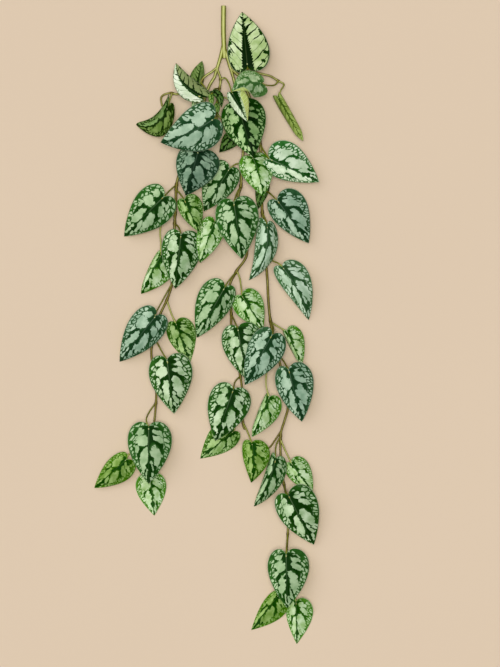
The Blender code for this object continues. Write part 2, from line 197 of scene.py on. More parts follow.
TONES = {
    "deep": Tone((12, 52, 2), (44, 96, 26), (152, 184, 134), (208, 230, 192), 0.93, stalk=0.5),
    "mid": Tone((12, 54, 4), (48, 102, 34), (148, 180, 132), (184, 210, 166), 0.93, stalk=0.45),
    "mist": Tone((38, 76, 38), (72, 116, 68), (162, 192, 160), (206, 230, 204), stalk=0.4),
    "blue": Tone((20, 58, 26), (50, 92, 54), (142, 174, 146), (184, 210, 184), 0.98,
                 left=(0.76, 0.81, 0.82), stalk=0.5),
    "broad": Tone((22, 60, 30), (46, 88, 50), (146, 176, 150), (180, 206, 180), 1.12,
                  left=(0.84, 0.87, 0.86), stalk=0.5),
    "slate": Tone((14, 44, 22), (44, 80, 50), (112, 142, 118), (152, 180, 152), 0.94, stalk=0.5),
    "frost": Tone((18, 72, 12), (56, 122, 52), (190, 216, 178), (230, 248, 218), 1.07),
    "young": Tone((18, 72, 0), (84, 144, 34), (158, 194, 124), (212, 236, 192), 1.06, stalk=0.1),
    "shaded_young": Tone((16, 64, 0), (66, 114, 18), (124, 162, 82), (178, 208, 142), stalk=0.2),
    "lime": Tone((16, 68, 0), (76, 128, 6), (116, 152, 66), (164, 196, 116), 0.99, stalk=0.1),
    "dim": Tone((6, 38, 0), (26, 76, 8), (128, 164, 104), (166, 196, 138), 0.84,
                left=(0.64, 0.7, 0.62), right=(1.34, 1.28, 1.36), stalk=0.3),
    "soft": Tone((58, 100, 46), (84, 128, 60), (134, 164, 118), (176, 200, 154)),
    "shaded": Tone((6, 28, 0), (26, 60, 6), (72, 110, 42), (110, 146, 78), 0.92, stalk=0.5),
    "streaked": Tone((16, 44, 0), (36, 64, 4), (96, 128, 56), (134, 162, 90), 1.06,
                     left=(0.95, 0.95, 0.9), right=(1.0, 1.05, 1.3), stalk=0.2),
    "crest": Tone((4, 32, 0), (24, 62, 6), (170, 196, 132), (220, 236, 194),
                  left=FULL, right=(0.84, 0.88, 0.76), stripes=(2.6, 8.5)),
    "folded": Tone((16, 60, 4), (56, 96, 16), (208, 228, 194), (236, 247, 226),
                   left=FULL, right=(0.34, 0.38, 0.2), stripes=(1.8, 6.5)),
    "front": Tone((6, 46, 2), (56, 104, 40), (202, 224, 186), (228, 242, 214),
                  left=(0.8, 0.85, 0.7), stripes=(0.9, 8.0)),
    "olive": Tone((20, 48, 0), (44, 74, 6), (92, 120, 56), (124, 150, 84),
                  left=FULL, right=(0.9, 0.9, 0.9), stripes=(2.2, 5.0), stalk=0.2),
    "edge": Tone((58, 84, 12), (86, 112, 26), (124, 146, 62), (168, 192, 106),
                 left=FULL, right=(0.8, 0.8, 0.7), stripes=(1.0, 3.5), stalk=0.2),
}
UNDERSIDE = (206, 222, 140)
UNDERSIDE_SHADE = (180, 202, 106)
UNDERSIDE_VEIN = (222, 234, 172)
JOINT_DOT = (200, 210, 150)

# Below, a step is written as its two ends and, unless they are 0 and 1, its values there. The silver
# print is in millimetres of the standard leaf: noise of these sizes jags it and lets it drift.
JAG_SIZE = 3.0
JAG_REACH = 2.6
DRIFT_SIZE = 17.0
DRIFT_REACH = 4.0

# The fields between the finest veins, which make up the print: their sizes across and along the side
# veins, the slant of these to the midrib, and the dark net between them, in shares of a field.
FIELD_SIZE = (4.6, 5.8, 1.0)
VEIN_SLANT = 0.6
NET_WIDTH = 0.27
NET_START = 0.12
NET_EDGE = (-0.01, 0.04)
NET_SHARE = 0.7

# The patches' edge, their halo and the band inside them where the net fades, in shares of their size.
# Near the margin, from this share of the half width, noise picks the fields that are spots.
PATCH_EDGE = 0.02
HALO = 0.2
NET_FADE = 0.25
SPOTS_START = (0.62, 0.66)
SPOT_NOISE = 1.3
SPOT_PICK = (0.44, 0.46)

# The dark band along the midrib of a patched blade: half its width, its halo's, its taper and its jags.
BAND_EDGE = (1.4, 1.7)
BAND_HALO = (0.8, 1.6)
BAND_TAPER = 0.018
BAND_JAG = 2.2

# The dark stripes of a striped blade: their spacing, slant and bend to the tip, the shift of the right
# half's, their sway and jags, how they fade and thin out, and their sharp and soft edge.
STRIPE_SPACING = 12.0
STRIPE_SLANT = 0.75
STRIPE_BEND = 0.014
STRIPE_SHIFT = 4.0
SWAY_SIZE = 16.0
SWAY_REACH = 10.0
STRIPE_JAG_SIZE = 2.4
STRIPE_JAG = 2.0
FADE_SIZE = 18.0
FADE_PICK = (0.36, 0.56)
THINNEST_STRIPE = 0.2
STRIPE_THINS = (0.0, 0.9, 1.0, 0.25)
STRIPE_EDGE = (-0.1, 0.25)
STRIPE_HALO = (-1.2, 0.0)

# The dark stripe along the midrib of a striped blade: its teeth, its jags, where its full width starts
# and its width at the tip. Then the dark blots, and the lift that keeps them near the margin.
TOOTH = 3.4
RIB_JAG = 3.0
RIB_START = -8.0
RIB_AT_TIP = 1.3
BLOT_SIZE = 5.0
BLOT_LEVEL = 0.46
BLOT_DEPTH = 12.0
BLOT_LIFT = (0.5, 0.95, 0.3, 0.0)

# A blade's finish: the paler rim, the print's end and the edge line in shares of the half width, where
# the painted light and shade of its two halves meet, its shading, the strength of the painted highlight
# along the midrib at the base, on a patched or striped blade, and after its run, the dot at its joint,
# its relief, and its roughness off and on the print.
RIM_START = (0.4, 0.9)
PRINT_END = (0.93, 0.95)
EDGE_LINE = (0.97, 0.985)
HALF_SHADING_MEET = (-1.0, 1.0)
SHADE_SIZE = 12.0
RIM_SHADE = (0.3, 0.6, 0.3, 1.0)
SILVER_SHADE = (0.3, 0.7)
HALO_SHARE = 0.75
MIDRIB_EDGE = (0.35, 0.8)
MIDRIB_SHINE = 0.22
STRIPED_SHINE = 0.08
TIP_SHINE = 0.04
SHINE_RUN = 40.0
JOINT_PLACE = (0.7, 0.0, 0.0)
JOINT_EDGE = (0.5, 0.9)
PORE_SIZE = 0.7
PORE_RELIEF = 0.5
PRINT_RELIEF = 0.6
BUMP = 0.3 * MM
BLADE_ROUGHNESS = (0.42, 0.52)

# The underside: its clouds and grain, the edges of its pale veins and midrib, and their relief.
UNDERSIDE_CLOUD = 9.0
UNDERSIDE_GRAIN = 0.8
UNDERSIDE_VEINS = (0.2, 0.9)
UNDERSIDE_MIDRIB = (0.6, 1.6)
VEIN_RELIEF = -0.5

# Bark, in sRGB: the darker and lighter colour of its streaks, green and brown, and the green and brown
# one of the painted highlight along its upper side and of the painted shade on its flanks. Then its
# streaks, rings and patches, where it turns brown, where the painted highlight and shade lie and how
# they sway, and its roughness, by its patches.
BARK_GREEN = ((96, 104, 14), (146, 150, 52))
BARK_BROWN = ((54, 48, 0), (98, 90, 16))
BARK_PAINTED_HIGHLIGHT = ((216, 220, 138), (136, 126, 50))
BARK_PAINTED_SHADE = ((74, 74, 4), (46, 40, 0))
STREAK_SIZE = 0.8
STREAK_PULL = (0.12, 1.0, 1.0)
RING_SIZE = 1.6
RING_PULL = (1.0, 0.1, 1.0)
RING_RELIEF = 0.6
BARK_PATCH = 9.0
PATCH_TINT = 0.7
BROWNING = (0.2, 0.8)
STREAK_SWAY = 0.16
PAINTED_HIGHLIGHT_EDGE = (0.8, 1.0, 0.0, 0.8)
PAINTED_SHADE_EDGE = (0.25, 0.8, 0.8, 0.0)
BARK_ROUGHNESS = (0.2, 0.8, 0.38, 0.54)

# How brown the bark is: on a leafy stem by the distance from its stub, on the other stalks, and how
# much more so at a node or a petiole's root, and less at its knee.
STEM_AGES = (0, 150, 400, 700)
STEM_TINTS = (0.4, 0.7, 0.75, 0.45)
STOCK_TINT = 0.1
BRANCH_TINT = 0.2
STUB_TINT = 0.35
TWIG_TINT = 0.9
NODE_TINT = 0.35
SHEATH_TINT = 0.3
KNEE_TINT = 0.25
BARK_DRAW = 10.0

# The floor, in metres: its size, its two faint colours, its clouds, its grain and its bumps.
FLOOR_SIZE = 6.0
FLOOR_COLOURS = ((217, 197, 175), (221, 201, 179))
FLOOR_CLOUD = 0.5
FLOOR_GRAIN = 0.002
FLOOR_BUMP = 0.2 * MM

# The lamps: strength, colour, angular size, and tilts about x and y from straight down, in degrees.
SUNS = {
    "front": (1.7, (1.0, 0.98, 0.94), 25, (0, 0)),
    "key": (1.0, (0.96, 0.98, 1.0), 60, (-24, -36)),
}
SKY_COLOUR = (1.0, 0.98, 0.9, 1.0)
SKY_STRENGTH = 0.27

# The silver patches of the standard leaf: place along the midrib and to its left, half their length
# and width, all in millimetres, and the angle of their length to the midrib in degrees.
PATCHES = (
    (0.2, 11.5, 4.6, 1.1, 80),
    (6.5, 12.8, 8.8, 2.9, 72),
    (15.3, 13.2, 10.0, 3.8, 53),
    (26.5, 20.8, 4.2, 3.0, 10),
    (15.5, 24.2, 3.2, 1.3, 12),
    (33.5, 21.2, 3.2, 1.7, -6),
    (42.0, 18.4, 4.2, 1.7, -14),
    (33.5, 8.9, 14.5, 6.2, 14),
    (45.5, 11.0, 6.5, 3.2, 8),
    (48.5, 4.6, 9.6, 1.9, 12),
    (53.5, 12.2, 3.6, 1.6, -16),
    (60.5, 2.9, 6.6, 1.2, -4),
    (2.9, -10.6, 4.8, 5.6, 0),
    (14.6, -9.9, 7.8, 8.6, 0),
    (8.4, -19.8, 4.4, 2.6, 8),
    (16.5, -20.8, 3.0, 3.0, 0),
    (26.2, -16.4, 5.2, 2.9, -6),
    (24.0, -22.6, 3.6, 1.7, 8),
    (31.8, -20.6, 3.0, 1.5, 12),
    (27.8, -4.8, 4.2, 1.6, -14),
    (38.0, -6.6, 13.8, 5.0, -2),
    (38.5, -16.2, 4.6, 1.9, 14),
    (50.0, -7.6, 7.0, 2.1, 11),
    (46.5, -13.4, 3.0, 1.3, 18),
    (57.5, -2.8, 9.0, 1.2, 3),
)

STOCK_ROUTE = ((19.4, 400, 4.6), (19.2, 369, 5.0), (20, 344, 6.0), (20.6, 334, 6.4))
BRANCHES = (
    ((19, 350, 5.6), (15.5, 335, 6.6), (11.3, 321, 7.6)),
    ((20.5, 346, 5.8), (25, 332, 6.8), (28.5, 320, 7.6)),
)
STUBS = {
    "crown_left_shoot": ((12, 323, 7.4), (6, 318, 8.6), SHOOT_RADIUS),
    "left_vine": ((12, 324, 7.4), (8.5, 312, 7.0), VINE_RADIUS),
    "crown_middle_shoot": ((10.6, 323, 7.4), (14.6, 312, 9.4), SHOOT_RADIUS),
    "crown_right_shoot": ((25, 332, 6.8), (33, 327.5, 9.0), SHOOT_RADIUS),
    "middle_vine": ((28, 322, 7.4), (31.5, 310, 6.2), VINE_RADIUS),
    "right_vine": ((27.5, 322, 7.4), (37.5, 313, 7.4), VINE_RADIUS),
}

LEAFY_STEMS = (
    LeafyStem(
        "crown_left_shoot",
        ((-5, 310, 9.5), (-14, 298, 9), (-27, 291, 8), (-39, 289, 7.5), (-47, 290.5, 7),
         (-56, 288, 6), (-59, 283, 5), (-57.5, 274, 4)),
        Leaf("fold", (-9.5, 285, 30), (-40, 327.5, 14), (14.5, 19), ((-8, 303), (-3, 294)),
             folds=(30, 45), arch=0.12, bow=8, tone="folded"),
        Leaf("small", (-13, 302.5, 12), (-7.5, 331, 5), (11.5, 8.5), ((-8, 306), (-14, 300)),
             folds=(20, 45), arch=0.05, tone="olive"),
        Leaf("curl", (-51, 270.5, 17), (-90, 251, 5), (18.5, 15), ((-45, 290), (-48, 281)),
             folds=(22, 54), arch=0.14, bow=11, drip=0.12, tone="streaked"),
        Leaf("sheath", (-15, 283, 13), (-20, 268.5, 15), (4, 4), ((-26, 291), (-17, 288)),
             folds=(40, 40), tone="young"),
    ),
    LeafyStem(
        "crown_right_shoot",
        ((40, 324, 9.5), (49, 323, 9.5), (61, 316, 8.5), (77, 312, 8), (89, 305, 7.5)),
        Leaf("crest", (49, 325, 22), (42.5, 392.5, 4), (24, 30.5), ((57, 318), (54, 316), (50, 318)),
             folds=(18, 14), drip=0.4, tone="crest"),
        Leaf("curl", (66, 301.5, 33), (30, 290, 44), (19, 18), ((88, 306), (83, 300), (73, 299)),
             folds=(12, 24), arch=0.05, bow=-4, curls=(160, 0), roll=(0.56, 0.78), drip=0.26,
             tone="soft"),
        Leaf("edge", (88, 284, 20), (119, 230, 12), (15.5, 15.5), ((88, 305), (95, 301), (91, 293)),
             folds=(84, 84), arch=0.05, drip=0.6, tone="edge"),
    ),
    LeafyStem(
        "crown_middle_shoot",
        ((15.6, 304, 10), (13.5, 291, 11), (12, 278, 11), (11, 262, 10), (13, 250, 8)),
        Leaf("front", (30.5, 288.5, 29), (49.5, 253, 34), (28, 11), ((16, 307), (21, 309), (26, 302)),
             folds=(10, 45), arch=0.08, curls=(150, 0), tone="front"),
        Leaf("shade", (37.5, 273, 19), (57, 208.5, 25), (31, 27), ((13, 286), (22, 284), (32, 278)),
             folds=(12, 25), arch=0.04, tone="dim"),
        Leaf("broad", (6, 255, 43), (-59, 227.5, 29), (30, 29.5), ((12, 276), (12, 268), (10, 258)),
             folds=(24, 18), arch=0.09, bow=4, tone="broad"),
        Leaf("bud_one", (7, 291, 26), (17, 271, 27), (7.5, 6), ((14, 296), (9, 295)),
             folds=(40, 60), bow=3, tone="shaded"),
        Leaf("bud_two", (4, 286, 31), (5, 271, 31), (4, 4), ((13, 288), (6, 289)), folds=(40, 40),
             tone="lime"),
        Leaf("bud_three", (11, 276, 20), (12.5, 262, 24), (4, 4), ((12, 283), (11, 279)),
             folds=(40, 40), tone="lime"),
        Leaf("back", (35, 239, 12), (14, 216, 9), (11, 11), ((11, 264), (22, 252), (31, 245)),
             tone="shaded"),
    ),
    LeafyStem(
        "left_vine",
        ((6, 307, 6.6), (0, 296, 6.2), (-8, 270, 5.6), (-17, 243, 5), (-28, 212, 5), (-37.5, 185, 5),
         (-40, 171, 5), (-40.5, 152, 5), (-42, 125, 4.6), (-42.5, 94, 4), (-44, 57.5, 4), (-51, 33, 4),
         (-61, 11, 4), (-69, -19, 4), (-71, -39, 4), (-66, -69, 4), (-65, -90, 4), (-67.5, -121, 4),
         (-72, -140, 4), (-76, -158, 4)),
        Leaf("one", (-12.5, 215, 30), (-27.5, 161.5, 21), (32.5, 24.5),
             ((-17, 243), (-12, 232), (-11, 222)), folds=(24, 18), arch=0.1, tone="slate"),
        Leaf("two", (-56, 159, 25), (-105, 111, 5), (26, 27.5), ((-40, 176), (-48, 168)), folds=(18, 22)),
        Leaf("three", (-29, 155, 29), (-11, 116, 25), (20, 13), ((-40, 170), (-34, 163)),
             folds=(26, 30), tone="shaded_young"),
        Leaf("four", (-34, 111, 22), (-41, 45.5, 11), (31, 23), ((-42, 128), (-36, 121)),
             folds=(30, 16), arch=0.08, tone="deep"),
        Leaf("five", (-60, 86, 12), (-84, 39, 2), (26, 11),
             ((-41, 140), (-56, 130), (-60, 118), (-59, 100)), folds=(20, 65), tone="young"),
        Leaf("six", (-66, 10, 24), (-111, -46, 4), (23.5, 24), ((-44, 52), (-55, 34), (-65, 15)),
             folds=(24, 16), tone="blue"),
        Leaf("seven", (-40, 1, 6.5), (-22.5, -47.5, -12), (20.5, 15.5), ((-51, 30), (-46, 14)),
             folds=(0, 0), arch=0.0, tone="shaded_young"),
        Leaf("eight", (-51, -45, 23), (-42.5, -111, 9), (31.5, 25.5), ((-68, -14), (-60, -29)),
             folds=(22, 15), tone="deep"),
        Leaf("nine", (-74, -129, 24), (-74, -199, 13), (30, 27), ((-66, -98), (-73, -108), (-77, -118)),
             folds=(18, 15)),
        Leaf("ten", (-103, -169, 13), (-142.5, -204, 2), (21, 15), ((-73, -145), (-97, -160)),
             folds=(22, 16), tone="lime"),
        Leaf("eleven", (-72.5, -191, 7), (-67.5, -239, -12), (19, 19.5), ((-76, -157), (-74, -176)),
             folds=(0, 0), arch=0.0, tone="young"),
    ),
    LeafyStem(
        "middle_vine",
        ((33, 304, 5.8), (36, 290, 5), (40, 268, 4.6), (43.5, 243, 4.4), (44, 219, 4.4), (42, 195, 4.4),
         (41, 174, 4.4), (37.5, 158, 4.4), (43, 128, 4.4), (48.8, 90, 4.4), (36, 68, 4.4), (27, 50, 4.2),
         (27, 32, 4), (29, 16, 4), (29, -1, 4), (34, -31, 4), (40, -62.5, 4), (42.5, -79, 4),
         (44, -100, 4), (43.8, -124, 4), (46, -131, 4.4)),
        Leaf("one", (26, 194, 13), (-5, 142.5, 4), (19.5, 25), ((43, 202), (34, 201)), folds=(18, 14)),
        Leaf("two", (32.5, 151, 27), (42.5, 82.5, 15), (30, 26), ((41, 174), (35, 162)), folds=(20, 15)),
        Leaf("three", (7.5, 127.5, 21), (-10, 77.5, 13), (16.5, 17), ((39, 150), (22, 140)),
             folds=(14, 16), tone="young"),
        Leaf("four", (20, 45, 24), (-14, -16, 9), (21, 26.5), ((34, 66), (25, 54)), folds=(30, 16)),
        Leaf("five", (43, 35.5, 18), (69, -5, 12), (20.5, 18.5), ((36, 67), (40, 57)),
             folds=(14, 14), tone="young"),
        Leaf("six", (37.5, -6, 20), (49, -69, 10), (29.5, 23.5), ((29, 14), (34, 3)),
             folds=(18, 16), tone="deep"),
        Leaf("seven", (31, -82.5, 23), (9, -145, 12), (28.5, 26.5), ((40, -64), (34, -71)),
             folds=(22, 16), tone="deep"),
        Leaf("eight", (31, -134, 7), (-10, -167.5, -12), (15.5, 21), ((43, -86), (39, -112)),
             folds=(0, 0), arch=0.0, tone="shaded_young"),
        Leaf("nine", (55, -149, 17), (54, -197.5, 8), (21.5, 14), ((44, -123), (50, -135)),
             folds=(16, 16), bow=2.5, tone="lime"),
    ),
    LeafyStem(
        "right_vine",
        ((42, 305, 6.6), (50, 290, 5.4), (58, 265, 4.6), (63, 240, 4.4), (66, 219, 4.4), (67, 190, 4.4),
         (67.5, 150, 4.4), (69, 125, 4.4), (71, 94, 4.4), (74, 60, 4.4), (75.5, 31, 4.4), (78, 6, 4.4),
         (83, -20, 4.4), (90, -48, 4.4), (97, -78, 4.4), (100, -102, 4.4), (96, -119, 4.4),
         (91, -137, 4.4), (91, -165, 4.4), (94, -193, 4.4), (99, -222, 4.4), (100, -256, 4.4),
         (98, -290, 4), (97.5, -318, 4)),
        Leaf("one", (56, 209, 16), (69, 160, 22), (23, 23), ((65, 230), (58, 221)), folds=(34, 28),
             arch=0.1, bow=2, tone="young"),
        Leaf("two", (70, 179, 9), (62.5, 145, 5), (9, 9), ((67, 192), (71, 185)), tone="shaded"),
        Leaf("three", (79, 206, 22), (139, 179, 9), (32, 19), ((67, 226), (72, 214)), folds=(18, 32),
             tone="frost"),
        Leaf("four", (87.5, 154, 21), (126, 102.5, 7), (31, 19.5), ((68, 171), (77, 165)),
             folds=(20, 25), tone="blue"),
        Leaf("five", (74, 122.5, 20), (51, 56, 8), (17, 18), ((68, 140), (72, 131)), folds=(45, 35),
             arch=0.08, bow=8.5, tone="mist"),
        Leaf("six", (94, 71, 22), (126, 6, 3), (24, 16), ((71, 90), (80, 81), (88, 77)),
             folds=(18, 20), bow=4, drip=0.58, tone="mist"),
        Leaf("seven", (79, -14, 31), (46, -75, 21), (26, 21.5), ((78, 5), (82, -5)), folds=(24, 18),
             tone="blue"),
        Leaf("eight", (99, -9, 13), (117.5, -50, 4), (18, 10.5), ((79, 3), (91, -4)), folds=(25, 75),
             tone="young"),
        Leaf("nine", (101, -57.5, 25), (117.5, -121, 9), (29, 21), ((87, -35), (95, -46)),
             folds=(22, 18), tone="blue"),
        Leaf("ten", (76, -91, 18), (55, -140, 15), (22, 12),
             ((79, -4), (80, -30), (74, -55), (72.5, -74)), folds=(25, 75), tone="young"),
        Leaf("eleven", (84, -169, 21), (57.5, -227.5, 4), (19.5, 13.5), ((91, -139), (85, -152)),
             folds=(35, 65), bow=3.5),
        Leaf("twelve", (105, -174, 12), (131, -210, 4), (18.5, 14), ((91, -144), (98, -160)),
             folds=(25, 25), tone="young"),
        Leaf("thirteen", (101, -214, 26), (132.5, -275, 6), (31.5, 23.5), ((94, -200), (97, -208)),
             folds=(20, 17), tone="deep"),
        Leaf("fourteen", (97.5, -287.5, 23), (99, -354, 13), (30, 24), ((100, -262), (98.5, -276)),
             folds=(20, 16)),
        Leaf("fifteen", (87.5, -339, 7), (54, -382.5, -12), (21, 10), ((97.5, -316), (93, -328)),
             folds=(0, 0), arch=0.0, tone="lime"),
        Leaf("sixteen", (110, -347.5, 7), (111, -400, -13), (21.5, 12.5), ((98, -316), (106, -330)),
             folds=(0, 0), arch=0.0, tone="young"),
        twigs=(((91, -131), (84, -144), (78, -152.5), (73, -155)),),
    ),
)


def smooth_path(points, steps):
    """A Catmull-Rom curve through the points, with this many steps between two of them."""
    places = [np.array(point, float) for point in points]
    places = [2 * places[0] - places[1], *places, 2 * places[-1] - places[-2]]
    path = []
    for before, start, end, after in zip(places, places[1:], places[2:], places[3:]):
        slope = end - before
        bend = 2 * before - 5 * start + 4 * end - after
        turn = 3 * start - before - 3 * end + after
        for step in range(steps):
            t = step / steps
            path.append(0.5 * (2 * start + slope * t + bend * t**2 + turn * t**3))
    path.append(places[-2])
    return np.array(path)


def path_lengths(path):
    steps = np.linalg.norm(np.diff(path, axis=0), axis=1)
    return np.concatenate(([0.0], np.cumsum(steps)))


def nearest(path, place):
    """The number of the path's point that is nearest to a place (x, y)."""
    return np.argmin(np.linalg.norm(path[:, :2] - np.array(place, float), axis=1))


def unit(vectors):
    return vectors / np.linalg.norm(vectors, axis=-1, keepdims=True)


class Shape:
    """One mesh that grows tube by tube.

    Its vertices keep their place on the tube (along, around and the tube's own draw), how brown
    the bark is, and how far they face up or down.
    """

    def __init__(self):
        self.places = []
        self.faces = []
        self.runs = []
        self.tints = []
        self.ups = []

    def add_tube(self, path, radii, tints, sides, draw):
        """A closed round tube along a path; its radius and tint are one for all points or each."""
        tangents = unit(np.gradient(path, axis=0))
        lengths = path_lengths(path)
        radii = np.broadcast_to(radii, len(path))
        tints = np.broadcast_to(tints, len(path))
        side = unit(np.cross(tangents[0], UP))
        turns = np.arange(sides) * math.tau / sides
        first = len(self.places)
        for place, tangent, radius, length, tint in zip(path, tangents, radii, lengths, tints):
            side = unit(side - tangent * np.dot(side, tangent))
            up = np.cross(side, tangent)
            ring = np.outer(np.cos(turns), side) + np.outer(np.sin(turns), up)
            self.places.extend(place + radius * ring)
            self.runs.extend((length, radius * turn, draw) for turn in turns)
            self.tints.extend([tint] * sides)
            self.ups.extend(np.abs(ring[:, 2]))
        for row in range(len(path) - 1):
            low = first + row * sides
            for k in range(sides):
                after = (k + 1) % sides
                self.faces.append((low + k, low + after, low + sides + after, low + sides + k))
        end = len(self.places)
        self.faces.append(tuple(range(first + sides - 1, first - 1, -1)))
        self.faces.append(tuple(range(end - sides, end)))

    def make(self, name, material):
        values = {"stalk_run": self.runs, "stalk_tint": self.tints, "stalk_up": self.ups}
        return new_piece(name, self.places, self.faces, [material], values)


def new_piece(name, places, faces, materials, values):
    """A smooth piece, from places in millimetres, whose vertices keep these numbers or vectors."""
    mesh = bpy.data.meshes.new(name)
    mesh.from_pydata((np.subtract(places, (*MIDDLE, 0.0)) * MM).tolist(), [], faces)
    mesh.shade_smooth()
    for material in materials:
        mesh.materials.append(material)
    for key, kept in values.items():
        kept = np.array(kept)
        kind, field = ("FLOAT_VECTOR", "vector") if kept.ndim == 2 else ("FLOAT", "value")
        mesh.attributes.new(key, kind, "POINT").data.foreach_set(field, kept.ravel())
    piece = bpy.data.objects.new(name, mesh)
    into_scene(piece)
    return piece


def into_scene(piece):
    bpy.context.scene.collection.objects.link(piece)


def margin_point(angle, drip):
    """The point of the margin at this angle from the midrib, for a blade of length 1."""
    reach = (1 - drip) * np.maximum(0.0, np.cos(angle / 2)) ** LOBE_POWER
    reach = reach + drip * (np.exp(-angle / TIP_ANGLE) - np.exp(-math.pi / TIP_ANGLE))
    return reach * np.cos(angle), reach * np.sin(angle)


def widest(drip):
    """The greatest distance of the margin from the midrib, for a blade of length 1."""
    return margin_point(math.pi * np.arange(MARGIN_STEPS) / MARGIN_STEPS, drip)[1].max()


def smooth_step(value, start, end):
    share = np.clip((value - start) / (end - start), 0.0, 1.0)
    return share * share * (3 - 2 * share)


def section(distance, reach, crease, fold, curl):
    """Where points of the blade go, out and down, this far from the midrib, for the margin's reach."""
    out = np.zeros_like(distance)
    down = np.zeros_like(distance)
    step = distance / SECTION_STEPS
    for number in range(SECTION_STEPS):
        far = (number + 0.5) * step
        rolled = np.clip((far / np.maximum(reach, LEAST_REACH) - CURL_START) / CURL_RUN, 0.0, 1.0)
        slope = fold * np.minimum(1.0, far / crease) - curl * rolled
        out += np.cos(slope) * step
        down += np.sin(slope) * step
    return out, down


def leaf_frame(leaf):
    """The blade's length and its axes: along the midrib, to its left, and up."""
    run = np.array(leaf.tip, float) - np.array(leaf.base, float)
    length = np.linalg.norm(run)
    along = run / length
    left = unit(np.cross(UP, along))
    return length, along, left, np.cross(along, left)


def midrib_points(leaf, x, depth):
    """Points this share of the way from base to tip, this deep below the midrib."""
    length, along, left, up = leaf_frame(leaf)
    x = np.asarray(x, float)[..., None]
    hump = 1 - (2 * x - 1) ** 2
    rise = leaf.arch * length * hump - np.asarray(depth, float)[..., None]
    return np.array(leaf.base, float) + along * (x * length) + left * (leaf.bow * hump) + up * rise


def blade_grid(leaf, phase):
    """A blade's points, their places on the standard leaf, and how near the margin they are."""
    _, _, left, _ = leaf_frame(leaf)
    station = np.linspace(0.0, 1.0, STATIONS + 1)[:, None]
    across = np.linspace(-1.0, 1.0, 2 * COLUMNS + 1)[None, :]
    spread = np.abs(across)
    is_left = across > 0
    halves = np.where(is_left, *leaf.halves)
    folds = np.radians(np.where(is_left, *leaf.folds))
    curls = np.radians(np.where(is_left, *leaf.curls))
    margin_x, margin_y = margin_point(math.pi * (1 - station) ** LOBE_CROWDING, leaf.drip)
    x = station**2 + (margin_x - station**2) * spread
    flat_y = margin_y / widest(leaf.drip) * spread * np.sign(across)
    reach = margin_y * halves / widest(leaf.drip)
    curl = curls * smooth_step(station, *leaf.roll)
    out, down = section(reach * spread, reach, CREASE * halves, folds, curl)
    height = WAVE_HEIGHT if any(leaf.folds) else 0.0
    wave = height * np.sin(math.tau * WAVES * station + phase) * spread**2
    print_x = x * PRINT_LENGTH
    print_y = flat_y * PRINT_HALF
    relief = fine_relief(station, spread, print_x, print_y, phase)
    grid = midrib_points(leaf, x, down - wave - relief)
    grid = grid + left * (out * np.sign(across))[..., None]
    grid[..., 2] = np.clip(grid[..., 2], BLADE_THICKNESS / 2, HIGHEST)
    flat = np.stack((print_x, print_y, np.zeros_like(print_x)), axis=-1)
    return grid, flat, np.broadcast_to(spread, print_x.shape)


def fine_relief(station, spread, print_x, print_y, phase):
    """The groove of the midrib, the quilting between the side veins and the ripples of the margin."""
    ends = np.sin(math.pi * station)
    groove = GROOVE_DEPTH * np.exp(-((print_y / GROOVE_WIDTH) ** 2))
    veins = (print_x - QUILT_SLANT * np.abs(print_y)) / QUILT_SPACING
    quilt = QUILT_HEIGHT * np.cos(math.tau * veins) * smooth_step(spread, *QUILT_START)
    ripple = RIPPLE_HEIGHT * np.sin(math.tau * RIPPLES * station + 3 * phase) * spread**4
    return (quilt + ripple - groove) * ends


def grid_faces():
    """The faces of a blade's grid, whose first and last rows are a single vertex each."""
    wide = 2 * COLUMNS + 1
    last = 1 + (STATIONS - 1) * wide
    faces = []
    for k in range(wide - 1):
        faces.append((0, 1 + k, 1 + k + 1))
        for row in range(STATIONS - 2):
            low = 1 + row * wide + k
            faces.append((low, low + wide, low + wide + 1, low + 1))
        low = last - wide + k
        faces.append((low, last, low + 1))
    return faces


def single_ends(values):
    """The grid's values in the order of its vertices."""
    kinds = values.shape[2:]
    return np.concatenate((values[:1, 0], values[1:-1].reshape(-1, *kinds), values[-1:, 0]))


def make_blade(stem, leaf, phase, materials):
    grid, flat, spread = (single_ends(values) for values in blade_grid(leaf, phase))
    grain = flat + (0.0, 0.0, DRAW_STEP * phase)
    values = {"leaf_place": flat, "leaf_grain": grain, "leaf_margin": spread}
    sides = [materials[leaf.tone], materials["underside"]]
    piece = new_piece(f"{stem.name}_leaf_{leaf.name}", grid, grid_faces(), sides, values)
    skin = piece.modifiers.new("thickness", "SOLIDIFY")
    skin.thickness = SHEET_THICKNESS * MM
    skin.offset = 0.0
    skin.material_offset = 1
    skin.material_offset_rim = 0
    return piece


def linear(colour):
    """A colour from sRGB, 0 to 255, as the shader's linear values."""
    shares = (value / 255 for value in colour)
    parts = [s / 12.92 if s <= 0.04045 else ((s + 0.055) / 1.055) ** 2.4 for s in shares]
    return (*parts, 1.0)


# The sockets of a Mix node that mixes colours.
MIX_SHARE = 0
MIX_FIRST = 6
MIX_SECOND = 7
MIX_COLOUR = 2


